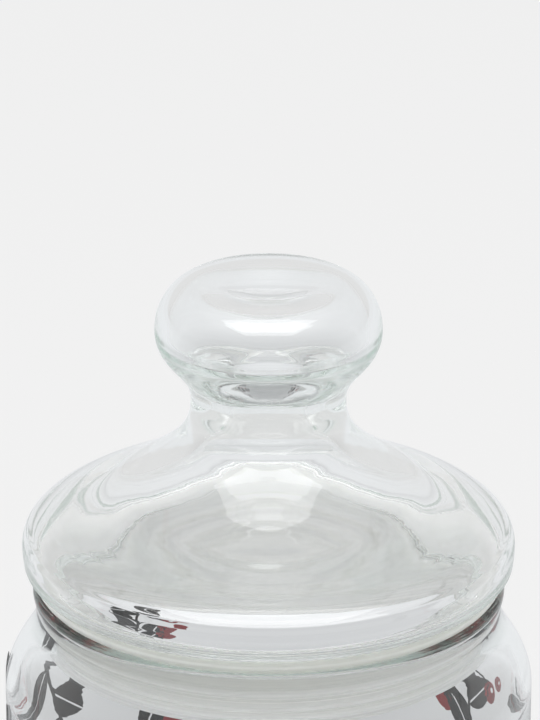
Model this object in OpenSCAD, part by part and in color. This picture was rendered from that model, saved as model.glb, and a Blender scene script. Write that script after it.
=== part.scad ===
// Glass jam pot with a blown, knobbed lid. The lid's plug carries a finned
// sealing ring that seats in the neck of the jar. Origin: centre of the foot.

/* [Jar] */
// Outer diameter of the straight body
jar_d = 100; // [96:1:110]
// Height from the foot to the top of the lip
jar_h = 88; // [75:1:130]
// Wall thickness of the straight body
jar_wall = 2.4; // [1.8:0.1:3.5]
// Bore of the neck, in which the sealing ring seats
neck_bore_d = 82.8; // [78:0.1:86]
// Glass thickness of the neck at its narrowest
neck_wall = 2.45; // [2:0.05:3.5]
// How far the fire-polished lip stands out past the neck
lip_out = 0.65; // [0.4:0.05:1.5]
// Depth of the neck's narrowest place below the top of the lip
neck_drop = 4.7; // [4:0.1:7]
// Depth below the top of the lip at which the body is straight
shoulder_drop = 21; // [18:0.5:30]
// Thickness of the floor
floor_t = 4.5; // [3:0.1:8]
// Rise of the push-up in the middle of the foot
punt_h = 2.2; // [1:0.1:3]
// Diameter of the flat ring that the jar stands on
foot_d = 88; // [80:1:92]
// Width of that flat ring
foot_w = 4; // [3:0.5:6]
// Radius of the heel between the foot and the body
heel_r = 7; // [4:0.5:9]

/* [Lid] */
// Largest diameter of the lid, near its rim
lid_d = 92.7; // [91:0.1:95]
// Height of the widest place above the underside of the rim
lid_belly_h = 4.2; // [3.5:0.1:6]
// Height of the shoulder of the dome above the underside of the rim
dome_h = 16; // [15:0.1:19]
// Diameter of the dome at that height
dome_d = 59.6; // [56:0.1:64]
// Diameter of the waist under the knob
waist_d = 29; // [26:0.1:31]
// Height of the waist above the underside of the rim
waist_h = 33.2; // [31:0.1:37]
// Bore of the waist, through which the knob was blown
waist_bore_d = 13.2; // [9:0.1:15]
// Diameter of the knob
knob_d = 42.3; // [38:0.1:48]
// Height of the knob's widest place above the waist
knob_belly_h = 13.5; // [11:0.1:17]
// Height from the knob's widest place to its top
knob_crown_h = 9.8; // [8:0.1:12]
// Diameter of the rolled edge round the dimple on the knob
dimple_d = 25; // [22:0.1:30]
// Depth of that dimple
dimple_h = 2.6; // [1.5:0.1:4]
// Glass thickness of the knob
knob_wall = 2.6; // [1.8:0.1:3.5]
// Glass thickness at the widest place of the lid, where the blown glass is thinnest
rim_wall = 0.9; // [0.8:0.05:1.6]
// Glass thickness half way between the widest place and the shoulder of the dome
brow_wall = 1.55; // [1.4:0.05:2.4]
// Glass thickness at the shoulder of the dome
dome_wall = 3.85; // [3:0.05:4.6]
// Glass thickness half way up the cone between dome and waist
cone_wall = 4.7; // [3.8:0.1:5.5]
// Glass thickness of the ledge under the rim
ledge_wall = 1.0; // [0.9:0.1:2]
// How far the ledge slopes down from the flange's edge to the plug
ledge_fall = 1.7; // [0.8:0.1:2]
// Glass thickness of the plug
plug_wall = 1.5; // [1.2:0.1:3]
// Depth of the plug below the underside of the rim
plug_h = 14; // [10:0.1:18]

/* [Sealing ring] */
// Room between plug and neck that the ring fills, on the radius
ring_room = 2.2; // [1.9:0.05:3]
// How far the flange stays inside the edge of the lip
flange_inset = 0.3; // [0:0.1:2]
// Thickness of that flange
flange_t = 3.3; // [2.8:0.1:5]
// Wall of the sleeve round the plug
sleeve_wall = 1.0; // [0.8:0.05:1.3]
// Depth of the sleeve below the flange
sleeve_h = 11.8; // [9:0.1:15]
// Number of sealing fins
fin_count = 4; // [2:1:5]
// Thickness of a fin at its edge
fin_edge_t = 0.5; // [0.3:0.1:1]
// Thickness of a fin at its root
fin_root_t = 1.3; // [1:0.1:1.8]

/* [Hidden] */
$fn = 160;
// Running clearance of the ring in the neck and round the plug
run_gap = 0.05;
// Clearance under the flange and under the rim
seat_gap = 0.05;
// Steps of each curved stretch of an outline
steps = 10;

jar_r = jar_d / 2;
bore_r = neck_bore_d / 2;
neck_r = bore_r + neck_wall;
lip_r = neck_r + lip_out;
foot_r = foot_d / 2;
foot_in_r = foot_r - foot_w;
// Tube radius of the lip's rounded edge, and its centre
lip_edge_share = 0.42;
lip_edge_r = (neck_wall + lip_out) * lip_edge_share;
lip_edge = [lip_r - lip_edge_r, jar_h - lip_edge_r];

flange_z = jar_h + seat_gap;
lid_z = flange_z + flange_t + seat_gap;
plug_r = bore_r - ring_room;
ring_bore_r = plug_r + run_gap;
sleeve_r = ring_bore_r + sleeve_wall;
fin_r = bore_r - run_gap;
flange_r = lip_r - flange_inset;
flange_edge_r = flange_t / 2;
// Where the flange's rounded edge ends and the slope of the ledge begins
seat_r = flange_r - flange_edge_r;
ledge_slope = ledge_fall / (seat_r - plug_r);

lid_r = lid_d / 2;
dome_r = dome_d / 2;
waist_r = waist_d / 2;
waist_bore_r = waist_bore_d / 2;
knob_r = knob_d / 2;
dimple_r = dimple_d / 2;
knob_belly_z = waist_h + knob_belly_h;
knob_top_z = knob_belly_z + knob_crown_h;
plug_bore_r = plug_r - plug_wall;
waist_wall = waist_r - waist_bore_r;

// Pulls of the curves, as shares of the way between their ends
shoulder_pull_shares = [0.40, 0.43];
lip_pull_shares = [0.45, 0.45];
belly_pull_shares = [0.46, 0.52];
waist_pull_shares = [0.82, 0.80];
knob_pull_shares = [0.44, 0.46];
crown_pull_shares = [0.57, 0.57];
dimple_pull_shares = [0.45, 0.35];
edge_pull_shares = [0.55, 0.45];
punt_pull_shares = [0.5, 0.3];
heel_pull_share = 0.55;
// How much of the waist's extra wall is there a step below the waist
cone_top_share = 0.12;
// Slope of the dome at its shoulder: rise for each unit inwards
dome_slope = 0.62;

// A point on a cubic curve, and the points of a whole one
function at(p, q, r, s, t) =
    pow(1 - t, 3) * p + 3 * t * pow(1 - t, 2) * q
    + 3 * t * t * (1 - t) * r + pow(t, 3) * s;
function curve(p, q, r, s) = [for (i = [0:steps]) at(p, q, r, s, i / steps)];
// A curve that leaves and arrives upright
function upright(p, q, pulls) = curve(
    p, [p[0], p[1] + pulls[0] * (q[1] - p[1])],
    [q[0], q[1] - pulls[1] * (q[1] - p[1])], q);
// A curve that leaves upright and arrives level
function crown(p, q, pulls) = curve(
    p, [p[0], p[1] + pulls[0] * (q[1] - p[1])],
    [q[0] + pulls[1] * (p[0] - q[0]), q[1]], q);
// A curve that leaves and arrives level
function level(p, q, pulls) = curve(
    p, [p[0] + pulls[0] * (q[0] - p[0]), p[1]],
    [q[0] - pulls[1] * (q[0] - p[0]), q[1]], q);
function flip(list) = [for (i = [len(list) - 1:-1:0]) list[i]];

// Outside of the jar, from the middle of the foot up to the lip
module jar_profile() {
    wall_r = jar_r - jar_wall;
    neck_z = jar_h - neck_drop;
    outside = concat(
        level([0, punt_h], [foot_in_r, 0], punt_pull_shares),
        heel([foot_r, 0], [jar_r, heel_r]),
        upright([jar_r, jar_h - shoulder_drop], [neck_r, neck_z], shoulder_pull_shares),
        upright([neck_r, neck_z], [lip_r, lip_edge[1]], lip_pull_shares));
    inside = concat(
        upright([lip_r - 2 * lip_edge_r, lip_edge[1]], [bore_r, neck_z], lip_pull_shares),
        upright([bore_r, neck_z - jar_wall], [wall_r, jar_h - shoulder_drop - jar_wall],
            shoulder_pull_shares),
        flip(heel([foot_r - jar_wall, floor_t], [wall_r, floor_t + heel_r])),
        flip(level([0, floor_t + punt_h], [foot_in_r - jar_wall, floor_t], punt_pull_shares)));
    polygon(concat(outside, inside));
    translate(lip_edge) circle(lip_edge_r);
}
// A quarter turn from level to upright
function heel(p, q) = curve(
    p, [p[0] + heel_pull_share * (q[0] - p[0]), p[1]],
    [q[0], q[1] - heel_pull_share * (q[1] - p[1])], q);

module jar() {
    color("lightcyan") rotate_extrude() jar_profile();
}

// One fin: a tapered blade on the sleeve, drawn at its middle height
module fin_profile() {
    polygon([
        [ring_bore_r + sleeve_wall / 2, -fin_root_t / 2], [sleeve_r, -fin_root_t / 2],
        [fin_r, -fin_edge_t / 2], [fin_r, fin_edge_t / 2],
        [sleeve_r, fin_root_t / 2], [ring_bore_r + sleeve_wall / 2, fin_root_t / 2]]);
}

module seal_profile() {
    pitch = (sleeve_h - fin_root_t) / fin_count;
    root_t = flange_t - ledge_slope * (seat_r - ring_bore_r);
    translate([0, flange_z]) polygon([[ring_bore_r, 0], [seat_r, 0], [seat_r, flange_t],
        [ring_bore_r, root_t]]);
    translate([seat_r, flange_z + flange_edge_r]) intersection() {
        circle(flange_edge_r);
        translate([0, -flange_t]) square([flange_t, 2 * flange_t]);
    }
    translate([ring_bore_r, flange_z - sleeve_h]) square([sleeve_wall, sleeve_h + root_t / 2]);
    for (i = [0:fin_count - 1])
        translate([0, flange_z - sleeve_h + fin_root_t / 2 + i * pitch]) fin_profile();
}

module seal_ring() {
    color("whitesmoke") rotate_extrude() seal_profile();
}

// Outside of the lid from the widest place over the dome to the waist, in two curves
dome = [dome_r, dome_h];
waist = [waist_r, waist_h];
dome_run = dome_r - waist_r;
dome_fall = lid_r - dome_r;
belly_curve = curve([lid_r, lid_belly_h],
    [lid_r, lid_belly_h + belly_pull_shares[0] * (dome_h - lid_belly_h)],
    dome + belly_pull_shares[1] * dome_fall * [1, -dome_slope], dome);
cone_curve = curve(dome, dome + waist_pull_shares[0] * dome_run * [-1, dome_slope],
    waist - [0, waist_pull_shares[1] * (waist_h - dome_h - dome_run * dome_slope)], waist);
dome_curve = concat(belly_curve, [for (i = [1:steps]) cone_curve[i]]);
// Glass thickness along that outside, at equal steps from the widest place to the waist
dome_walls = [rim_wall, rim_wall, brow_wall, (brow_wall + dome_wall) / 2, dome_wall,
    (dome_wall + 2 * cone_wall) / 3, cone_wall,
    cone_wall + cone_top_share * (waist_wall - cone_wall), waist_wall];

// A smooth run through a list of walls, at t from 0 to 1
function wall_at(list, t) =
    let (last = len(list) - 1, k = min(floor(t * last), last - 1), f = t * last - k,
        a = list[max(k - 1, 0)], b = list[k], c = list[k + 1], d = list[min(k + 2, last)])
    b + f * ((c - a) / 2 + f * (a - 2.5 * b + 2 * c - d / 2 + f * (1.5 * (b - c) + (d - a) / 2)));
// Unit normal of a list of points, to the left of its run
function normal(list, i) =
    let (run = list[min(i + 1, len(list) - 1)] - list[max(i - 1, 0)])
    [-run[1], run[0]] / norm(run);

module lid_profile() {
    edge_r = plug_wall / 2;
    corner = [lid_r - rim_wall / 4, lid_belly_h / 3];
    last = len(dome_curve) - 1;
    outside = concat(
        level([0, knob_top_z - dimple_h], [dimple_r, knob_top_z], dimple_pull_shares),
        flip(crown([knob_r, knob_belly_z], [dimple_r, knob_top_z], crown_pull_shares)),
        flip(upright(waist, [knob_r, knob_belly_z], knob_pull_shares)),
        flip(dome_curve),
        curve(corner, corner - [0, corner[1] / 2], corner - [corner[1] / 3, corner[1]],
            corner - [corner[1], corner[1]]),
        [[seat_r, 0], [plug_r, -ledge_fall]]);
    cavity = [knob_r - knob_wall, knob_belly_z];
    cavity_top = [dimple_r, knob_top_z - knob_wall];
    bore_top = [waist_bore_r, waist_h];
    dome_inside = [for (i = [0:last]) dome_curve[i]
        + wall_at(dome_walls, i / last) * normal(dome_curve, i)];
    under = dome_inside[0];
    plug_bore = [plug_bore_r, -ledge_fall];
    ledge = [plug_bore_r + 2 * ledge_wall,
        ledge_wall - ledge_slope * (seat_r - plug_bore_r - 2 * ledge_wall)];
    inside = concat(
        curve(plug_bore, plug_bore + [0, ledge_wall / 2],
            ledge - ledge_wall * [1, ledge_slope], ledge),
        curve([seat_r, ledge_wall], [under[0] - rim_wall / 2, ledge_wall],
            [under[0], ledge_wall + rim_wall / 2], under),
        [for (i = [1:last - 1]) dome_inside[i]],
        [bore_top],
        upright(bore_top + [0, knob_wall], cavity, knob_pull_shares),
        crown(cavity, cavity_top, crown_pull_shares),
        flip(level([0, cavity_top[1] - dimple_h], cavity_top, dimple_pull_shares)));
    translate([0, lid_z]) polygon(concat(outside,
        crown([plug_r, edge_r - plug_h], [plug_r - edge_r, -plug_h], edge_pull_shares),
        flip(crown([plug_bore_r, edge_r - plug_h], [plug_r - edge_r, -plug_h], edge_pull_shares)),
        inside));
}

module lid() {
    color("azure") rotate_extrude() lid_profile();
}

jar();
seal_ring();
lid();
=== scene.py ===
"""Glass jam pot: blown glass jar and lid, moulded sealing ring and a fired enamel print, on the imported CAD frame."""

import math

import bmesh
import bpy
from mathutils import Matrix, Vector


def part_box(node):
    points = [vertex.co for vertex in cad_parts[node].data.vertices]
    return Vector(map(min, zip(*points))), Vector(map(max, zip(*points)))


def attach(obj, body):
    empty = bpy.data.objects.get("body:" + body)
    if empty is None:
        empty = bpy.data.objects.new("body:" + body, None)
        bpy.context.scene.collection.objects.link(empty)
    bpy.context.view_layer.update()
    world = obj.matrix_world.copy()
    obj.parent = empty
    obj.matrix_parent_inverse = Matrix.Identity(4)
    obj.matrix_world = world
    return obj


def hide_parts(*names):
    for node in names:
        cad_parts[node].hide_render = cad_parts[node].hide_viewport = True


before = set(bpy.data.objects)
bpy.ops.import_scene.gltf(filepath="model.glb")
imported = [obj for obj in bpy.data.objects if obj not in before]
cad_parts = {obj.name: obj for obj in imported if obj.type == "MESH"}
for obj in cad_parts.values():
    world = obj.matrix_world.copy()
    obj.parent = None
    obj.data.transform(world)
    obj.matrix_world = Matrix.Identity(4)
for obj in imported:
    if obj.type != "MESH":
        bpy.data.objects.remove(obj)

bl_info = {
    "name": "Jam pot",
    "version": (1, 0, 0),
    "blender": (4, 5, 0),
    "location": "3D View > Sidebar > Jam pot",
    "description": "Makes the glass, the sealing ring and the enamel print of a lidded jam pot",
    "category": "Add Mesh",
}

MM = 0.001
# Points this near to the plane of the outline count as on it
SEAM_GAP = 1e-7
# A turn past this is a real edge of the outline, and below the other one it is a straight run
EDGE_TURN = math.radians(20)
STRAIGHT_TURN = math.radians(0.04)
# A run this many times longer than its neighbour is a straight wall that a curve joins
WALL_RATIO = 3.0
# One face of a smooth curve turns by about this much
FACE_TURN = math.radians(2.5)
# The rounding of an edge takes at most this share of the runs beside it
EDGE_SHARE = 0.45
# Points of the print this near to each other are one
PRINT_GAP = 2e-7
# The numbers of the two inks in the layer that says which face has which
DARK_INK, BRIGHT_INK = 0, 1
# The plug reaches 14 mm below the rim, and the lid's lower edge line is 1.2 mm above the rim's underside
LID_EDGE_OVER_PLUG_END = 15.2 * MM


# ---- helpers for colours, nodes and trees


def linear(colour):
    """An sRGB hex colour as linear red, green, blue and alpha."""
    channels = [int(colour[i:i + 2], 16) / 255 for i in (1, 3, 5)]
    return [c / 12.92 if c <= 0.04045 else ((c + 0.055) / 1.055) ** 2.4 for c in channels] + [1.0]


def add(tree, kind, inputs=None, **settings):
    """Adds a node. Settings are its own properties, and inputs gives its sockets values or links."""
    node = tree.nodes.new(kind)
    for name, value in settings.items():
        setattr(node, name, value)
    for key, value in (inputs or {}).items():
        if isinstance(value, bpy.types.NodeSocket):
            tree.links.new(value, node.inputs[key])
        else:
            node.inputs[key].default_value = value
    return node


def new_tree(name, inputs):
    """A Geometry Nodes tree that takes and gives geometry, with named inputs, and its two end nodes."""
    tree = bpy.data.node_groups.new(name, "GeometryNodeTree")
    for label, kind in [("Geometry", "NodeSocketGeometry")] + inputs:
        tree.interface.new_socket(label, in_out="INPUT", socket_type=kind)
    tree.interface.new_socket("Geometry", in_out="OUTPUT", socket_type="NodeSocketGeometry")
    return tree, add(tree, "NodeGroupInput").outputs, add(tree, "NodeGroupOutput")


def new_material(name):
    """An empty material and its node tree."""
    material = bpy.data.materials.new(name)
    material.use_nodes = True
    material.node_tree.nodes.clear()
    return material, material.node_tree


def new_object(name, mesh):
    """An object at the origin that shows the mesh."""
    piece = bpy.data.objects.new(name, mesh)
    bpy.context.scene.collection.objects.link(piece)
    return piece


def built_by(piece, tree, values):
    """Runs a Geometry Nodes tree on the piece and keeps the result as its plain mesh."""
    modifier = piece.modifiers.new(tree.name, "NODES")
    modifier.node_group = tree
    sockets = {s.name: s.identifier for s in tree.interface.items_tree if s.in_out == "INPUT"}
    for label, value in values.items():
        modifier[sockets[label]] = value
    graph = bpy.context.evaluated_depsgraph_get()
    mesh = bpy.data.meshes.new_from_object(piece.evaluated_get(graph))
    piece.modifiers.clear()
    piece.data = mesh
    mesh.name = piece.name
    return piece


# ---- turned pieces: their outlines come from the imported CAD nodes


def outline_of(node):
    """The outline of a turned CAD node as (r, z) points in order, and whether it closes on itself."""
    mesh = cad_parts[node].data
    places, names, beside = {}, {}, {}
    for vertex in mesh.vertices:
        if abs(vertex.co.y) < SEAM_GAP and vertex.co.x > -SEAM_GAP:
            name = (round(vertex.co.x, 6), round(vertex.co.z, 6))
            names[vertex.index] = name
            places[name] = Vector((max(vertex.co.x, 0.0), vertex.co.z))
    for edge in mesh.edges:
        ends = [names.get(index) for index in edge.vertices]
        if None not in ends and ends[0] != ends[1]:
            beside.setdefault(ends[0], set()).add(ends[1])
            beside.setdefault(ends[1], set()).add(ends[0])
    loose = sorted(name for name, near in beside.items() if len(near) == 1)
    walk = [loose[0] if loose else min(beside)]
    while True:
        onward = sorted(near for near in beside[walk[-1]] if near not in walk[-2:] and near != walk[0])
        if not onward:
            break
        walk.append(onward[0])
    if len(walk) != len(beside):
        raise RuntimeError(f"the outline of {node} isn't one line")
    return [places[name] for name in walk], not loose


def turn(before, after):
    """The angle between two directions, in radians."""
    return abs(before.angle_signed(after)) if before.length and after.length else 0.0


def without_straight_points(points, closed):
    """Leaves out the points in the middle of straight runs."""
    kept = []
    count = len(points)
    for i, point in enumerate(points):
        if not closed and i in (0, count - 1):
            kept.append(point)
            continue
        if turn(point - points[i - 1], points[(i + 1) % count] - point) > STRAIGHT_TURN:
            kept.append(point)
    return kept


def knots_along(points, closed, edge_r):
    """The places that the smooth outline runs through, with its direction there. A real edge gives two."""
    count = len(points)
    knots = []
    for i, point in enumerate(points):
        before = point - points[i - 1] if closed or i else None
        after = points[(i + 1) % count] - point if closed or i < count - 1 else None
        if before is None or after is None:
            # The outline ends on the axis, which it meets at a right angle
            knots.append((point, Vector(((after or before).x, 0)).normalized()))
            continue
        ahead, behind = after.normalized(), before.normalized()
        if turn(before, after) > EDGE_TURN:
            cut = min(edge_r, EDGE_SHARE * before.length, EDGE_SHARE * after.length)
            knots.append((point - behind * cut, behind))
            knots.append((point + ahead * cut, ahead))
        elif before.length > WALL_RATIO * after.length:
            knots.append((point, behind))
        elif after.length > WALL_RATIO * before.length:
            knots.append((point, ahead))
        else:
            knots.append((point, (behind * after.length + ahead * before.length).normalized()))
    return knots


def smooth_outline(points, closed, edge_r):
    """Runs a smooth curve through the points of an outline, and rounds its real edges a little."""
    knots = knots_along(without_straight_points(points, closed), closed, edge_r)
    run = []
    for i in range(len(knots) if closed else len(knots) - 1):
        start, leave = knots[i]
        end, arrive = knots[(i + 1) % len(knots)]
        span = (end - start).length
        bend = turn(leave, arrive) + 2 * turn(leave, end - start)
        steps = max(1, math.ceil(bend / (2 * FACE_TURN)))
        # A cubic curve that leaves the one knot and arrives at the other in their directions
        for step in range(steps):
            t = step / steps
            run.append(start * (2 * t**3 - 3 * t**2 + 1) + end * (3 * t**2 - 2 * t**3)
                       + (leave * (t**3 - 2 * t**2 + t) + arrive * (t**3 - t**2)) * span)
    run.append(run[0].copy() if closed else knots[-1][0])
    return run


def round_axis(tree, radius, angle, height):
    """The place at a radius, an angle and a height about the Z axis."""
    place = add(tree, "ShaderNodeCombineXYZ", {"Z": height})
    for axis, operation in (("X", "COSINE"), ("Y", "SINE")):
        share = add(tree, "ShaderNodeMath", {0: angle}, operation=operation)
        reach = add(tree, "ShaderNodeMath", {0: radius, 1: share.outputs[0]}, operation="MULTIPLY")
        tree.links.new(reach.outputs[0], place.inputs[axis])
    return place.outputs[0]


def turning_tree():
    """The tree that turns an outline in the XZ plane once round the Z axis. All turned pieces share it."""
    label = "turned outline"
    if label in bpy.data.node_groups:
        return bpy.data.node_groups[label]
    tree, given, end = new_tree(label, [("Steps round", "NodeSocketInt"), ("Material", "NodeSocketMaterial")])
    # A flat grid has a row for each point of the outline and a column for each step round
    count = add(tree, "GeometryNodeAttributeDomainSize", {"Geometry": given["Geometry"]}).outputs["Point Count"]
    across = add(tree, "ShaderNodeMath", {0: given["Steps round"], 1: 1.0}, operation="ADD")
    grid = add(tree, "GeometryNodeMeshGrid", {
        "Size X": 1.0, "Size Y": 1.0, "Vertices X": across.outputs[0], "Vertices Y": count})
    position = add(tree, "GeometryNodeInputPosition").outputs[0]
    place = add(tree, "ShaderNodeSeparateXYZ", {0: position}).outputs
    share = add(tree, "ShaderNodeMath", {0: place["X"], 1: 0.5}, operation="ADD")
    angle = add(tree, "ShaderNodeMath", {0: share.outputs[0], 1: math.tau}, operation="MULTIPLY")
    rise = add(tree, "ShaderNodeMath", {0: place["Y"], 1: 0.5}, operation="ADD")
    last = add(tree, "ShaderNodeMath", {0: count, 1: 1.0}, operation="SUBTRACT")
    row = add(tree, "ShaderNodeMath", {0: rise.outputs[0], 1: last.outputs[0]}, operation="MULTIPLY")
    index = add(tree, "ShaderNodeMath", {0: row.outputs[0]}, operation="ROUND")
    # Each row then goes to the radius and the height of its point
    point = add(tree, "GeometryNodeSampleIndex", {
        "Geometry": given["Geometry"], "Value": position, "Index": index.outputs[0]}, data_type="FLOAT_VECTOR")
    outline = add(tree, "ShaderNodeSeparateXYZ", {0: point.outputs[0]}).outputs
    turned = add(tree, "GeometryNodeSetPosition", {
        "Geometry": grid.outputs["Mesh"],
        "Position": round_axis(tree, outline["X"], angle.outputs[0], outline["Z"])})
    closed = add(tree, "GeometryNodeMergeByDistance", {"Geometry": turned.outputs[0], "Distance": SEAM_GAP})
    smooth = add(tree, "GeometryNodeSetShadeSmooth", {"Geometry": closed.outputs[0]})
    real = add(tree, "GeometryNodeRealizeInstances", {"Geometry": smooth.outputs[0]})
    done = add(tree, "GeometryNodeSetMaterial", {"Geometry": real.outputs[0], "Material": given["Material"]})
    tree.links.new(done.outputs[0], end.inputs[0])
    return tree


def turned_piece(name, node, edge_r, steps_round, material):
    """A smooth turned piece on the outline of a CAD node, which it replaces."""
    points = smooth_outline(*outline_of(node), edge_r)
    mesh = bpy.data.meshes.new(name)
    mesh.from_pydata([(p.x, 0.0, p.y) for p in points], [(i, i + 1) for i in range(len(points) - 1)], [])
    piece = built_by(new_object(name, mesh), turning_tree(), {"Steps round": steps_round, "Material": material})
    shell = bmesh.new()
    shell.from_mesh(piece.data)
    # The outline may have been walked either way round, and the faces have to point outwards
    if shell.calc_volume(signed=True) < 0:
        bmesh.ops.reverse_faces(shell, faces=shell.faces)
        shell.to_mesh(piece.data)
    shell.free()
    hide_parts(node)
    return piece


# ---- materials


def rings(tree, scale, ratio):
    """Noise that runs round the axis: ratio times finer across the outline than on its way round."""
    parts = add(tree, "ShaderNodeSeparateXYZ", {0: add(tree, "ShaderNodeTexCoord").outputs["Object"]}).outputs
    flat = add(tree, "ShaderNodeCombineXYZ", {"X": parts["X"], "Y": parts["Y"]})
    radius = add(tree, "ShaderNodeVectorMath", {0: flat.outputs[0]}, operation="LENGTH").outputs["Value"]
    # Radius less height changes along the outline wherever it falls outwards, and along a wall
    along = add(tree, "ShaderNodeMath", {0: radius, 1: parts["Z"]}, operation="SUBTRACT")
    across = add(tree, "ShaderNodeMath", {0: along.outputs[0], 1: ratio}, operation="MULTIPLY")
    drawn = add(tree, "ShaderNodeCombineXYZ", {"X": parts["X"], "Y": parts["Y"], "Z": across.outputs[0]})
    return add(tree, "ShaderNodeTexNoise", {"Vector": drawn.outputs[0], "Scale": scale, "Detail": 0.0}).outputs[0]


def glass(name, look, ripple_mm, ring_mm):
    """Soda-lime glass, blown and fire polished: clear, with a faint grey-green body and slow ripples in its surface."""
    material, tree = new_material(name)
    place = add(tree, "ShaderNodeTexCoord").outputs["Object"]
    # The wall of blown glass swells and thins slowly, which bends what shows through it
    slow = add(tree, "ShaderNodeTexNoise", {"Vector": place, "Scale": look.ripple_scale, "Detail": 1.0})
    bump = add(tree, "ShaderNodeBump", {"Height": slow.outputs[0], "Strength": 1.0, "Distance": ripple_mm * MM})
    # Turning in the mould leaves faint rings round the axis, which draw lights out into streaks
    ringed = add(tree, "ShaderNodeBump", {
        "Height": rings(tree, look.ring_scale, look.ring_ratio), "Strength": 1.0, "Distance": ring_mm * MM,
        "Normal": bump.outputs[0]})
    body = add(tree, "ShaderNodeBsdfPrincipled", {
        "Base Color": (1, 1, 1, 1), "Roughness": 0.0, "IOR": look.ior, "Transmission Weight": 1.0,
        "Normal": ringed.outputs[0]})
    # Iron in the sand colours long paths through the glass, so edges look grey-green
    tint = add(tree, "ShaderNodeVolumeAbsorption", {"Color": linear(look.tint), "Density": look.tint_density})
    add(tree, "ShaderNodeOutputMaterial", {"Surface": body.outputs[0], "Volume": tint.outputs[0]})
    return material


def polythene(name, look):
    """Low-density polythene, injection moulded: milky, lets light through, with a soft waxy shine."""
    material, tree = new_material(name)
    flow_scale, flow_depth = 260.0, 0.05 * MM  # marks for each metre, and how deep they are
    smoothest, roughest = 0.32, 0.48
    shade_from, shade_to = 0.35, 0.65  # the part of the noise in which the ring turns into its darker band of painted shade
    place = add(tree, "ShaderNodeTexCoord").outputs["Object"]
    # The mould's fine texture and the flow of the melt break up the shine
    flow = add(tree, "ShaderNodeTexNoise", {"Vector": place, "Scale": flow_scale, "Detail": 3.0})
    bump = add(tree, "ShaderNodeBump", {"Height": flow.outputs[0], "Strength": 0.3, "Distance": flow_depth})
    haze = add(tree, "ShaderNodeMapRange", {
        "Value": flow.outputs[0], "To Min": smoothest, "To Max": roughest})
    # Painted shade: the ring is darker in fine bands that run round it, which stand in for streaks of shade
    band = add(tree, "ShaderNodeMapRange", {
        "Value": rings(tree, look.band_scale, look.band_ratio), "From Min": shade_from, "From Max": shade_to})
    milk_and_shade = add(tree, "ShaderNodeMix", {
        "Factor": band.outputs[0], "A": linear(look.colour), "B": linear(look.shade_band_colour)}, data_type="RGBA")
    # Blue light goes a little less deep than red and green
    body = add(tree, "ShaderNodeBsdfPrincipled", {
        "Base Color": milk_and_shade.outputs["Result"], "Roughness": haze.outputs[0], "IOR": look.ior,
        "Subsurface Weight": 1.0, "Subsurface Radius": (1.0, 1.0, 0.9), "Subsurface Scale": look.scatter,
        "Normal": bump.outputs[0]})
    add(tree, "ShaderNodeOutputMaterial", {"Surface": body.outputs[0]})
    return material


def enamel(name, colour):
    """Ceramic enamel, screen printed and fired on: opaque, half glossy, with the fine grain of the screen."""
    material, tree = new_material(name)
    # The real grain is about 0.1 mm, and is drawn at 0.4 mm so that it shows
    grain_size, grain_depth = 0.4 * MM, 0.02 * MM
    thin_spots = 0.02  # how far the ink turns pale where the screen laid it thin
    place = add(tree, "ShaderNodeTexCoord").outputs["Object"]
    grain = add(tree, "ShaderNodeTexNoise", {"Vector": place, "Scale": 1 / grain_size, "Detail": 2.0})
    deep = linear(colour)
    pale = [c + thin_spots * (1 - c) for c in deep[:3]] + [1.0]
    mixed = add(tree, "ShaderNodeMix", {"Factor": grain.outputs[0], "A": deep, "B": pale}, data_type="RGBA")
    bump = add(tree, "ShaderNodeBump", {"Height": grain.outputs[0], "Strength": 0.4, "Distance": grain_depth})
    body = add(tree, "ShaderNodeBsdfPrincipled", {
        "Base Color": mixed.outputs["Result"], "Roughness": 0.38, "Normal": bump.outputs[0]})
    add(tree, "ShaderNodeOutputMaterial", {"Surface": body.outputs[0]})
    return material


# ---- the print


def stroke(shape, centre, half_width, steps, ink, across=2):
    """Adds one inked stroke to the shape: a strip along centre(t), as wide as half_width(t), for t from 0 to 1."""
    layer = shape.faces.layers.int["ink"]
    near = 0.01  # how far before and after t the line's direction is read
    rows = []
    for i in range(steps + 1):
        t = i / steps
        before, after = Vector(centre(max(t - near, 0))), Vector(centre(min(t + near, 1)))
        side = (after - before).orthogonal().normalized() * half_width(t)
        middle = Vector(centre(t))
        rows.append([shape.verts.new((*((middle + side * (2 * k / across - 1)) * MM), 0.0))
                     for k in range(across + 1)])
    for lower, upper in zip(rows, rows[1:]):
        for k in range(across):
            face = shape.faces.new((lower[k], lower[k + 1], upper[k + 1], upper[k]))
            face[layer] = ink


def berry(shape, centre, radius, ink, steps=20):
    """Adds a round berry with a clear highlight, up and to the left of its middle, to the shape."""
    layer = shape.faces.layers.int["ink"]
    glint, glint_r = (centre[0] - radius * 0.30, centre[1] + radius * 0.32), radius * 0.24
    # Hoops of points lead from the edge of the highlight to the edge of the berry
    hoops = []
    for share in (0.0, 0.5, 1.0):
        hoop = []
        for i in range(steps):
            a = math.tau * i / steps
            r = glint_r + (radius - glint_r) * share
            x = glint[0] + (centre[0] - glint[0]) * share + r * math.cos(a)
            y = glint[1] + (centre[1] - glint[1]) * share + r * math.sin(a)
            hoop.append(shape.verts.new((x * MM, y * MM, 0.0)))
        hoops.append(hoop)
    for inner, outer in zip(hoops, hoops[1:]):
        for i in range(steps):
            j = (i + 1) % steps
            shape.faces.new((inner[i], outer[i], outer[j], inner[j]))[layer] = ink


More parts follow.
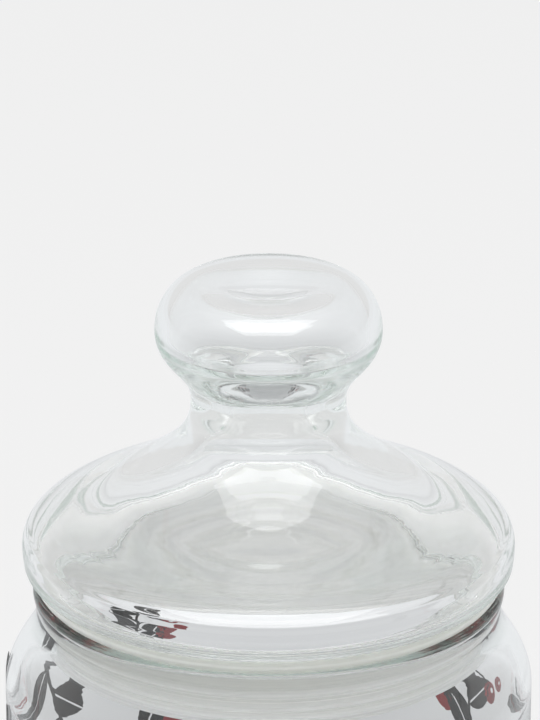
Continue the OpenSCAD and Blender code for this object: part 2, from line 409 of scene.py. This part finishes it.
def leaf(shape, root, heading, length, width, ink):
    """Adds a leaf to the shape: two halves on either side of a clear midrib."""
    steps = 12
    midrib, blunt_tip = 0.22, 0.05  # half the gap between the two halves, and half the width of one at its ends
    ahead = Vector((math.cos(heading), math.sin(heading)))
    aside = ahead.orthogonal()

    def bow(t):
        """How wide the leaf is at t as a share of its width: full low down, and narrower towards the tip."""
        return math.sin(math.pi * t) ** 0.8 * (1 - 0.35 * t)

    def half_width(t):
        return blunt_tip + width * 0.5 * bow(t)

    for half in (1, -1):
        def middle(t):
            return Vector(root) + ahead * length * t + aside * half * (midrib + width * 0.5 * bow(t))

        stroke(shape, middle, half_width, steps, ink)


def sprig(look):
    """A flat sprig of leaves and berries, drawn in millimetres about the origin."""
    leaves, stalks = 7, 4
    stem_steps, stalk_steps = 26, 8
    stalk_half_width = 0.28
    shape = bmesh.new()
    shape.faces.layers.int.new("ink")
    tall = look.motif_height / MM

    def stem(t):
        """A slow S from the foot of the sprig to its top."""
        return Vector((tall * 0.09 * math.sin(3.4 * t - 0.9), tall * (t - 0.5)))

    stroke(shape, stem, lambda t: 0.62 - 0.34 * t, stem_steps, DARK_INK)
    # Leaves stand on either side in turn, and get shorter, slimmer and steeper towards the top
    for i in range(leaves):
        t = 0.10 + 0.84 * i / (leaves - 1)
        side = 1 if i % 2 else -1
        heading = math.pi / 2 - side * math.radians(52 - 18 * t)
        leaf(shape, stem(t), heading, tall * (0.28 - 0.08 * t), tall * (0.085 - 0.02 * t), DARK_INK)
    # Between them, each stalk carries a large and a small berry
    large, small, apart = tall * 0.052, tall * 0.036, tall * 0.075
    for i in range(stalks):
        side = -1 if i % 2 else 1
        start = stem(0.20 + 0.20 * i)
        hang = start + Vector((side * tall * 0.155, tall * (0.015 - 0.03 * (i % 2))))

        def stalk(s):
            return start.lerp(hang, s) + Vector((0, tall * 0.05 * math.sin(math.pi * s)))

        stroke(shape, stalk, lambda s: stalk_half_width, stalk_steps, DARK_INK)
        berry(shape, hang, large, BRIGHT_INK)
        berry(shape, hang + Vector((side * apart, apart)), small, BRIGHT_INK)
    bmesh.ops.recalc_face_normals(shape, faces=shape.faces)
    flipped = [face for face in shape.faces if face.normal.z < 0]
    bmesh.ops.reverse_faces(shape, faces=flipped)
    mesh = bpy.data.meshes.new("sprig")
    shape.to_mesh(mesh)
    shape.free()
    return mesh


def band_tree():
    """The tree that sets flat motifs in two rows, bends the rows round the jar and gives them their thickness."""
    kinds = {
        "NodeSocketInt": ("Right count", "Left count", "Seed"),
        "NodeSocketFloat": ("Right from", "Left from", "Pitch", "Radius", "Middle", "Thickness", "Lean"),
        "NodeSocketMaterial": ("Dark", "Bright"),
    }
    tree, given, end = new_tree("printed band", [(label, kind) for kind, labels in kinds.items() for label in labels])
    # The points on which the motifs stand lie side by side, in two straight rows as long as their arcs
    pitch = add(tree, "ShaderNodeMath", {0: given["Radius"], 1: given["Pitch"]}, operation="MULTIPLY")
    step = add(tree, "ShaderNodeCombineXYZ", {"X": pitch.outputs[0]})
    line = add(tree, "GeometryNodeJoinGeometry")
    for side in ("Right", "Left"):
        first = add(tree, "ShaderNodeMath", {0: given["Radius"], 1: given[f"{side} from"]}, operation="MULTIPLY")
        row = add(tree, "GeometryNodeMeshLine", {
            "Count": given[f"{side} count"], "Offset": step.outputs[0],
            "Start Location": add(tree, "ShaderNodeCombineXYZ", {"X": first.outputs[0]}).outputs[0]})
        tree.links.new(row.outputs[0], line.inputs[0])
    # Every other motif stands on its head, and each leans a little
    index = add(tree, "GeometryNodeInputIndex").outputs[0]
    odd = add(tree, "ShaderNodeMath", {0: index, 1: 2.0}, operation="MODULO")
    over = add(tree, "ShaderNodeMath", {0: odd.outputs[0], 1: math.pi}, operation="MULTIPLY")
    less = add(tree, "ShaderNodeMath", {0: given["Lean"], 1: -1.0}, operation="MULTIPLY")
    lean = add(tree, "FunctionNodeRandomValue", {
        2: less.outputs[0], 3: given["Lean"], "ID": index, "Seed": given["Seed"]}, data_type="FLOAT")
    tilt = add(tree, "ShaderNodeMath", {0: over.outputs[0], 1: lean.outputs[1]}, operation="ADD")
    spin = add(tree, "ShaderNodeCombineXYZ", {"Z": tilt.outputs[0]})
    copies = add(tree, "GeometryNodeInstanceOnPoints", {
        "Points": line.outputs[0], "Instance": given["Geometry"], "Rotation": spin.outputs[0]})
    flat = add(tree, "GeometryNodeRealizeInstances", {"Geometry": copies.outputs[0]})
    # Each arc's length turns into an angle, and each height moves up to the middle of the print
    place = add(tree, "ShaderNodeSeparateXYZ", {0: add(tree, "GeometryNodeInputPosition").outputs[0]}).outputs
    angle = add(tree, "ShaderNodeMath", {0: place["X"], 1: given["Radius"]}, operation="DIVIDE")
    height = add(tree, "ShaderNodeMath", {0: place["Y"], 1: given["Middle"]}, operation="ADD")
    bent = add(tree, "GeometryNodeSetPosition", {
        "Geometry": flat.outputs[0],
        "Position": round_axis(tree, given["Radius"], angle.outputs[0], height.outputs[0])})
    # The raised copy gets sides, and the turned-over one closes it from below
    thick = add(tree, "GeometryNodeExtrudeMesh", {
        "Mesh": bent.outputs[0], "Offset Scale": given["Thickness"], "Individual": False})
    under = add(tree, "GeometryNodeFlipFaces", {"Mesh": bent.outputs[0]})
    both = add(tree, "GeometryNodeJoinGeometry")
    tree.links.new(thick.outputs[0], both.inputs[0])
    tree.links.new(under.outputs[0], both.inputs[0])
    whole = add(tree, "GeometryNodeMergeByDistance", {"Geometry": both.outputs[0], "Distance": PRINT_GAP})
    real = add(tree, "GeometryNodeRealizeInstances", {"Geometry": whole.outputs[0]})
    dark = add(tree, "GeometryNodeSetMaterial", {"Geometry": real.outputs[0], "Material": given["Dark"]})
    ink = add(tree, "GeometryNodeInputNamedAttribute", {"Name": "ink"}, data_type="INT")
    is_bright = add(tree, "FunctionNodeCompare", {
        2: ink.outputs[0], 3: BRIGHT_INK}, data_type="INT", operation="EQUAL")
    bright = add(tree, "GeometryNodeSetMaterial", {
        "Geometry": dark.outputs[0], "Selection": is_bright.outputs[0], "Material": given["Bright"]})
    tree.links.new(bright.outputs[0], end.inputs[0])
    return tree


# ---- settings, shown in the panel


class JamPotGlass(bpy.types.PropertyGroup):
    """The blown glass of jar and lid"""
    steps_round: bpy.props.IntProperty(
        name="Steps round", description="Faces round each turned piece", default=144, min=48, max=512)
    edge_r: bpy.props.FloatProperty(
        name="Edge radius", description="Radius of the fire-polished edges", default=0.25 * MM, unit="LENGTH")
    ior: bpy.props.FloatProperty(name="IOR", description="How strongly the glass bends light", default=1.52)
    tint: bpy.props.StringProperty(
        name="Tint", description="Colour of thick glass, as sRGB hex", default="#EFF7F3")
    tint_density: bpy.props.FloatProperty(
        name="Tint density", description="How fast the glass takes on its tint, for each metre", default=14.0)
    jar_ripple: bpy.props.FloatProperty(
        name="Jar ripple", description="Depth of the slow ripples in the jar, in millimetres", default=0.02)
    lid_ripple: bpy.props.FloatProperty(
        name="Lid ripple", description="Depth of the slow ripples in the lid, in millimetres", default=0.03)
    ripple_scale: bpy.props.FloatProperty(
        name="Ripple scale", description="Ripples for each metre", default=60.0)
    jar_rings: bpy.props.FloatProperty(
        name="Jar rings", description="Depth of the rings round the jar, in millimetres", default=0.01)
    lid_rings: bpy.props.FloatProperty(
        name="Lid rings", description="Depth of the rings round the lid, in millimetres", default=0.06)
    ring_scale: bpy.props.FloatProperty(
        name="Ring changes", description="Changes of a ring on its way round, for each metre", default=4.0)
    ring_ratio: bpy.props.FloatProperty(
        name="Ring ratio", description="How many times closer the rings lie than they are long", default=40.0)


class JamPotSeal(bpy.types.PropertyGroup):
    """The moulded sealing ring"""
    edge_r: bpy.props.FloatProperty(
        name="Edge radius", description="Radius of the moulded edges", default=0.1 * MM, unit="LENGTH")
    ior: bpy.props.FloatProperty(name="IOR", description="How strongly the plastic bends light", default=1.51)
    colour: bpy.props.StringProperty(name="Colour", description="Colour of the ring, as sRGB hex", default="#ECEDE8")
    # Its bands are painted shade: darker streaks that run round the ring
    shade_band_colour: bpy.props.StringProperty(
        name="Band colour", description="Colour of its clearer bands, as sRGB hex", default="#B6B8B2")
    band_scale: bpy.props.FloatProperty(
        name="Band changes", description="Changes of a band on its way round, for each metre", default=8.0)
    band_ratio: bpy.props.FloatProperty(
        name="Band ratio", description="How many times closer the bands lie than they are long", default=90.0)
    scatter: bpy.props.FloatProperty(
        name="Scatter depth", description="How deep light goes into the ring", default=25.0 * MM, unit="LENGTH")


class JamPotPrint(bpy.types.PropertyGroup):
    """The fired print: a row of sprigs on the right of the jar and one on its left"""
    right_count: bpy.props.IntProperty(name="Right sprigs", description="Sprigs on the right", default=2, min=1)
    right_from: bpy.props.FloatProperty(
        name="Right from", description="Angle of the first sprig on the right", default=0.0, unit="ROTATION")
    left_count: bpy.props.IntProperty(name="Left sprigs", description="Sprigs on the left", default=3, min=1)
    left_from: bpy.props.FloatProperty(
        name="Left from", description="Angle of the first sprig on the left", default=math.radians(120),
        unit="ROTATION")
    pitch: bpy.props.FloatProperty(
        name="Pitch", description="Angle from one sprig to the next", default=math.radians(30), unit="ROTATION")
    motif_height: bpy.props.FloatProperty(
        name="Motif height", description="Height of one sprig", default=48 * MM, unit="LENGTH")
    below_top: bpy.props.FloatProperty(
        name="Below the shoulder", description="Middle of the print below the shoulder's foot",
        default=26 * MM, unit="LENGTH")
    lean: bpy.props.FloatProperty(
        name="Lean", description="How far a sprig may lean", default=math.radians(9), unit="ROTATION")
    seed: bpy.props.IntProperty(name="Seed", description="Seed of the leaning", default=4)
    thickness: bpy.props.FloatProperty(
        name="Thickness", description="Thickness of the fired enamel", default=0.05 * MM, unit="LENGTH")
    sunk: bpy.props.FloatProperty(
        name="Sunk", description="How far the enamel has melted into the glass", default=0.02 * MM, unit="LENGTH")
    dark: bpy.props.StringProperty(name="Dark ink", description="Colour of stems and leaves", default="#1D2020")
    bright: bpy.props.StringProperty(name="Bright ink", description="Colour of the berries", default="#B8232A")


class JamPotStudio(bpy.types.PropertyGroup):
    """Floor, light tent and softbox"""
    pale: bpy.props.StringProperty(
        name="Background", description="Colour of floor and backdrop, as sRGB hex", default="#EFEFEF")
    floor_glow: bpy.props.FloatProperty(
        name="Floor glow", description="How bright the evenly lit share of the floor looks", default=1.003)
    floor_shade: bpy.props.FloatProperty(
        name="Floor shade", description="Share of the floor that takes light and shadow", default=0.2)
    in_glass: bpy.props.StringProperty(
        name="Floor in glass", description="Colour of the floor where glass shows it, as sRGB hex", default="#EAECEE")
    foot_light: bpy.props.FloatProperty(
        name="Light at the foot", description="How bright glass shows the floor under the pot", default=0.48)
    clear_r: bpy.props.FloatProperty(
        name="Clear radius", description="Radius from which the floor is fully lit", default=0.28, unit="LENGTH")
    box_power: bpy.props.FloatProperty(
        name="Softbox radiance", description="How bright the softbox overhead looks", default=2.7)
    box_width: bpy.props.FloatProperty(
        name="Softbox width", description="Width of the softbox", default=2.2, unit="LENGTH")
    box_depth: bpy.props.FloatProperty(
        name="Softbox depth", description="Depth of the softbox", default=1.65, unit="LENGTH")
    box_away: bpy.props.FloatProperty(
        name="Softbox distance", description="Distance from the lid to the softbox", default=2.2, unit="LENGTH")
    box_above: bpy.props.FloatProperty(
        name="Softbox height", description="How high the softbox hangs, as an angle over the front",
        default=math.radians(70), unit="ROTATION")
    front_light: bpy.props.FloatProperty(
        name="Front light", description="How bright the tent is on the camera's side", default=0.55)
    back_light: bpy.props.FloatProperty(
        name="Back light", description="How bright the tent is behind the pot", default=0.75)
    side_share: bpy.props.FloatProperty(
        name="Side light", description="Share of that light at the tent's sides", default=0.8)
    ceiling_light: bpy.props.FloatProperty(
        name="Ceiling light", description="Light that the tent's ceiling adds", default=0.3)


# ---- operators, the stage and the panel


class JAMPOT_OT_blow_jar(bpy.types.Operator):
    """Makes the blown glass jar"""
    bl_idname = "jampot.blow_jar"
    bl_label = "Blow the jar"

    def execute(self, context):
        look = context.scene.jampot_glass
        material = glass("soda_lime_glass_jar", look, look.jar_ripple, look.jar_rings)
        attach(turned_piece("glass_jar", "jar", look.edge_r, look.steps_round, material), "jar")
        return {"FINISHED"}


class JAMPOT_OT_blow_lid(bpy.types.Operator):
    """Makes the blown glass lid with its knob and plug"""
    bl_idname = "jampot.blow_lid"
    bl_label = "Blow the lid"

    def execute(self, context):
        look = context.scene.jampot_glass
        material = glass("soda_lime_glass_lid", look, look.lid_ripple, look.lid_rings)
        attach(turned_piece("glass_lid", "lid", look.edge_r, look.steps_round, material), "lid")
        return {"FINISHED"}


class JAMPOT_OT_mould_seal(bpy.types.Operator):
    """Makes the finned sealing ring"""
    bl_idname = "jampot.mould_seal"
    bl_label = "Mould the sealing ring"

    def execute(self, context):
        look = context.scene.jampot_seal
        steps = context.scene.jampot_glass.steps_round
        piece = turned_piece("sealing_ring", "seal_ring", look.edge_r, steps, polythene("low_density_polythene", look))
        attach(piece, "seal_ring")
        return {"FINISHED"}


class JAMPOT_OT_fire_print(bpy.types.Operator):
    """Makes the fired enamel print round the jar"""
    bl_idname = "jampot.fire_print"
    bl_label = "Fire the print"

    def execute(self, context):
        look = context.scene.jampot_print
        body_r, shoulder_z = straight_body()
        piece = built_by(new_object("enamel_print", sprig(look)), band_tree(), {
            "Right count": look.right_count, "Right from": look.right_from, "Left count": look.left_count,
            "Left from": look.left_from, "Pitch": look.pitch,
            "Radius": body_r - look.sunk, "Middle": shoulder_z - look.below_top,
            "Thickness": look.thickness, "Lean": look.lean, "Seed": look.seed,
            "Dark": enamel("fired_enamel_black", look.dark), "Bright": enamel("fired_enamel_red", look.bright)})
        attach(piece, "jar")
        return {"FINISHED"}


def straight_body():
    """The radius of the jar's straight body, and the height at which it ends and the shoulder starts."""
    body_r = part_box("jar")[1].x
    points, _ = outline_of("jar")
    return body_r, max(p.y for p in points if p.x > body_r - SEAM_GAP * 10)


class JAMPOT_OT_set_stage(bpy.types.Operator):
    """Makes the floor, the light tent, the softbox and the camera"""
    bl_idname = "jampot.set_stage"
    bl_label = "Set the stage"

    def execute(self, context):
        scene = context.scene
        look = scene.jampot_studio
        scene.view_settings.view_transform = "Standard"
        # Light runs a long way inside the walls of lip and rim, and would end there as black lines
        scene.cycles.max_bounces = scene.cycles.transmission_bounces = scene.cycles.glossy_bounces = 100
        scene.cycles.diffuse_bounces = 16
        scene.cycles.transparent_max_bounces = 32
        # The sealing ring gets its light through the glass, and a blurred path would lose half of it
        scene.cycles.blur_glossy = 0.0
        set_floor(look)
        set_tent(scene, look)
        set_softbox(look)
        set_camera(scene)
        return {"FINISHED"}


def set_floor(look):
    """A wide pale floor that takes the pot's shadow. In the glass it looks cooler, and darker near the foot."""
    half = 8.0  # metres, so that the camera never sees its edge near the pot
    mesh = bpy.data.meshes.new("floor")
    mesh.from_pydata([(-half, -half, 0), (half, -half, 0), (half, half, 0), (-half, half, 0)], [], [(0, 1, 2, 3)])
    floor = new_object("floor", mesh)
    material, tree = new_material("matt_white_board")
    # Painted shadow: the pot keeps light from the floor round its foot, and only its own glass shows that
    place = add(tree, "ShaderNodeTexCoord").outputs["Object"]
    away = add(tree, "ShaderNodeVectorMath", {0: place}, operation="LENGTH").outputs["Value"]
    lit = add(tree, "ShaderNodeMapRange", {
        "Value": away, "From Min": 0.0, "From Max": look.clear_r, "To Min": look.foot_light,
        "To Max": 1.0}, interpolation_type="SMOOTHSTEP")
    path = add(tree, "ShaderNodeLightPath").outputs
    through = add(tree, "ShaderNodeMath", {
        0: path["Is Glossy Ray"], 1: path["Is Transmission Ray"]}, operation="MAXIMUM")
    even = add(tree, "ShaderNodeEmission", {"Color": linear(look.pale), "Strength": look.floor_glow})
    shown = add(tree, "ShaderNodeEmission", {"Color": linear(look.in_glass), "Strength": lit.outputs[0]})
    board = add(tree, "ShaderNodeBsdfDiffuse", {"Color": linear(look.pale)})
    mixed = add(tree, "ShaderNodeMixShader", {0: look.floor_shade, 1: even.outputs[0], 2: board.outputs[0]})
    whole = add(tree, "ShaderNodeMixShader", {0: through.outputs[0], 1: mixed.outputs[0], 2: shown.outputs[0]})
    add(tree, "ShaderNodeOutputMaterial", {"Surface": whole.outputs[0]})
    mesh.materials.append(material)


def set_tent(scene, look):
    """A white light tent, brighter behind the pot and darker at its sides. The camera sees an even pale backdrop."""
    # Where each fade starts and ends in the direction of a ray: Y runs to the back, X aside and Z up
    front, back = -0.5, 0.3
    side_from, side_to = 0.55, 0.95
    ceiling_from, ceiling_to = 0.7, 0.85
    world = bpy.data.worlds.new("light tent")
    scene.world = world
    world.use_nodes = True
    tree = world.node_tree
    tree.nodes.clear()
    way = add(tree, "ShaderNodeSeparateXYZ", {0: add(tree, "ShaderNodeTexCoord").outputs["Generated"]}).outputs
    depth = add(tree, "ShaderNodeMapRange", {
        "Value": way["Y"], "From Min": front, "From Max": back, "To Min": look.front_light,
        "To Max": look.back_light})
    aside = add(tree, "ShaderNodeMath", {0: way["X"]}, operation="ABSOLUTE")
    side = add(tree, "ShaderNodeMapRange", {
        "Value": aside.outputs[0], "From Min": side_from, "From Max": side_to, "To Min": 1.0,
        "To Max": look.side_share})
    walls = add(tree, "ShaderNodeMath", {0: depth.outputs[0], 1: side.outputs[0]}, operation="MULTIPLY")
    above = add(tree, "ShaderNodeMapRange", {
        "Value": way["Z"], "From Min": ceiling_from, "From Max": ceiling_to, "To Min": 0.0,
        "To Max": look.ceiling_light})
    light = add(tree, "ShaderNodeMath", {0: walls.outputs[0], 1: above.outputs[0]}, operation="ADD")
    tent = add(tree, "ShaderNodeBackground", {"Color": (1, 1, 1, 1), "Strength": light.outputs[0]})
    backdrop = add(tree, "ShaderNodeBackground", {"Color": linear(look.pale), "Strength": 1.0})
    seen = add(tree, "ShaderNodeLightPath").outputs["Is Camera Ray"]
    mixed = add(tree, "ShaderNodeMixShader", {0: seen, 1: tent.outputs[0], 2: backdrop.outputs[0]})
    add(tree, "ShaderNodeOutputWorld", {"Surface": mixed.outputs[0]})


def set_softbox(look):
    """One large softbox high in front of the pot, which shines in the knob and in the middle of the dome."""
    lamp = bpy.data.lights.new("softbox", "AREA")
    lamp.shape = "RECTANGLE"
    lamp.size, lamp.size_y = look.box_width, look.box_depth
    lamp.energy = look.box_power * math.pi * lamp.size * lamp.size_y
    box = bpy.data.objects.new("softbox", lamp)
    lid_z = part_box("lid")[0].z
    box.location = (0.0, -look.box_away * math.cos(look.box_above), lid_z + look.box_away * math.sin(look.box_above))
    box.rotation_euler = (look.box_above - math.pi / 2, 0, 0)
    bpy.context.scene.collection.objects.link(box)


def set_camera(scene):
    """The photograph's camera: a long lens that looks down on the lid at 24 degrees."""
    width, height = 540, 720  # of the picture, in pixels, as the next two lines are
    focal = 4771.8
    aim_x, aim_y = 268.5, 554.1  # where the middle of the lid's lower edge falls
    away, above = 900 * MM, math.radians(24)
    aim_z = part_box("lid")[0].z + LID_EDGE_OVER_PLUG_END
    camera = bpy.data.cameras.new("camera")
    camera.sensor_fit = "VERTICAL"
    camera.sensor_height = 24  # millimetres, as on a small-format camera
    camera.lens = camera.sensor_height * focal / height
    holder = bpy.data.objects.new("camera", camera)
    holder.location = (0, -away * math.cos(above), aim_z + away * math.sin(above))
    pitch = above - math.atan((aim_y - height / 2) / focal)
    yaw = math.atan((aim_x - width / 2) / focal)
    holder.rotation_euler = (math.pi / 2 - pitch, 0, yaw)
    scene.collection.objects.link(holder)
    scene.camera = holder


class JAMPOT_PT_panel(bpy.types.Panel):
    """Lists the settings and operators in the 3D view's sidebar"""
    bl_idname = "JAMPOT_PT_panel"
    bl_label = "Jam pot"
    bl_space_type = "VIEW_3D"
    bl_region_type = "UI"
    bl_category = "Jam pot"

    def draw(self, context):
        for group, operators in GROUPS:
            box = self.layout.box()
            settings = getattr(context.scene, group)
            for name in settings.__annotations__:
                box.prop(settings, name)
            for operator in operators:
                box.operator(operator)


GROUPS = [
    ("jampot_studio", ["jampot.set_stage"]),
    ("jampot_glass", ["jampot.blow_jar", "jampot.blow_lid"]),
    ("jampot_seal", ["jampot.mould_seal"]),
    ("jampot_print", ["jampot.fire_print"]),
]
SETTINGS = {
    "jampot_studio": JamPotStudio, "jampot_glass": JamPotGlass, "jampot_seal": JamPotSeal,
    "jampot_print": JamPotPrint,
}
CLASSES = [
    *SETTINGS.values(), JAMPOT_OT_set_stage, JAMPOT_OT_blow_jar, JAMPOT_OT_blow_lid, JAMPOT_OT_mould_seal,
    JAMPOT_OT_fire_print, JAMPOT_PT_panel,
]


def register():
    for kind in CLASSES:
        bpy.utils.register_class(kind)
    for name, kind in SETTINGS.items():
        setattr(bpy.types.Scene, name, bpy.props.PointerProperty(type=kind))


def unregister():
    for name in SETTINGS:
        delattr(bpy.types.Scene, name)
    for kind in reversed(CLASSES):
        bpy.utils.unregister_class(kind)


def main():
    """Makes the stage and every piece."""
    register()
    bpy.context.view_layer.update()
    bpy.ops.jampot.set_stage()
    bpy.ops.jampot.blow_jar()
    bpy.ops.jampot.blow_lid()
    bpy.ops.jampot.mould_seal()
    bpy.ops.jampot.fire_print()


if __name__ == "__main__":
    main()
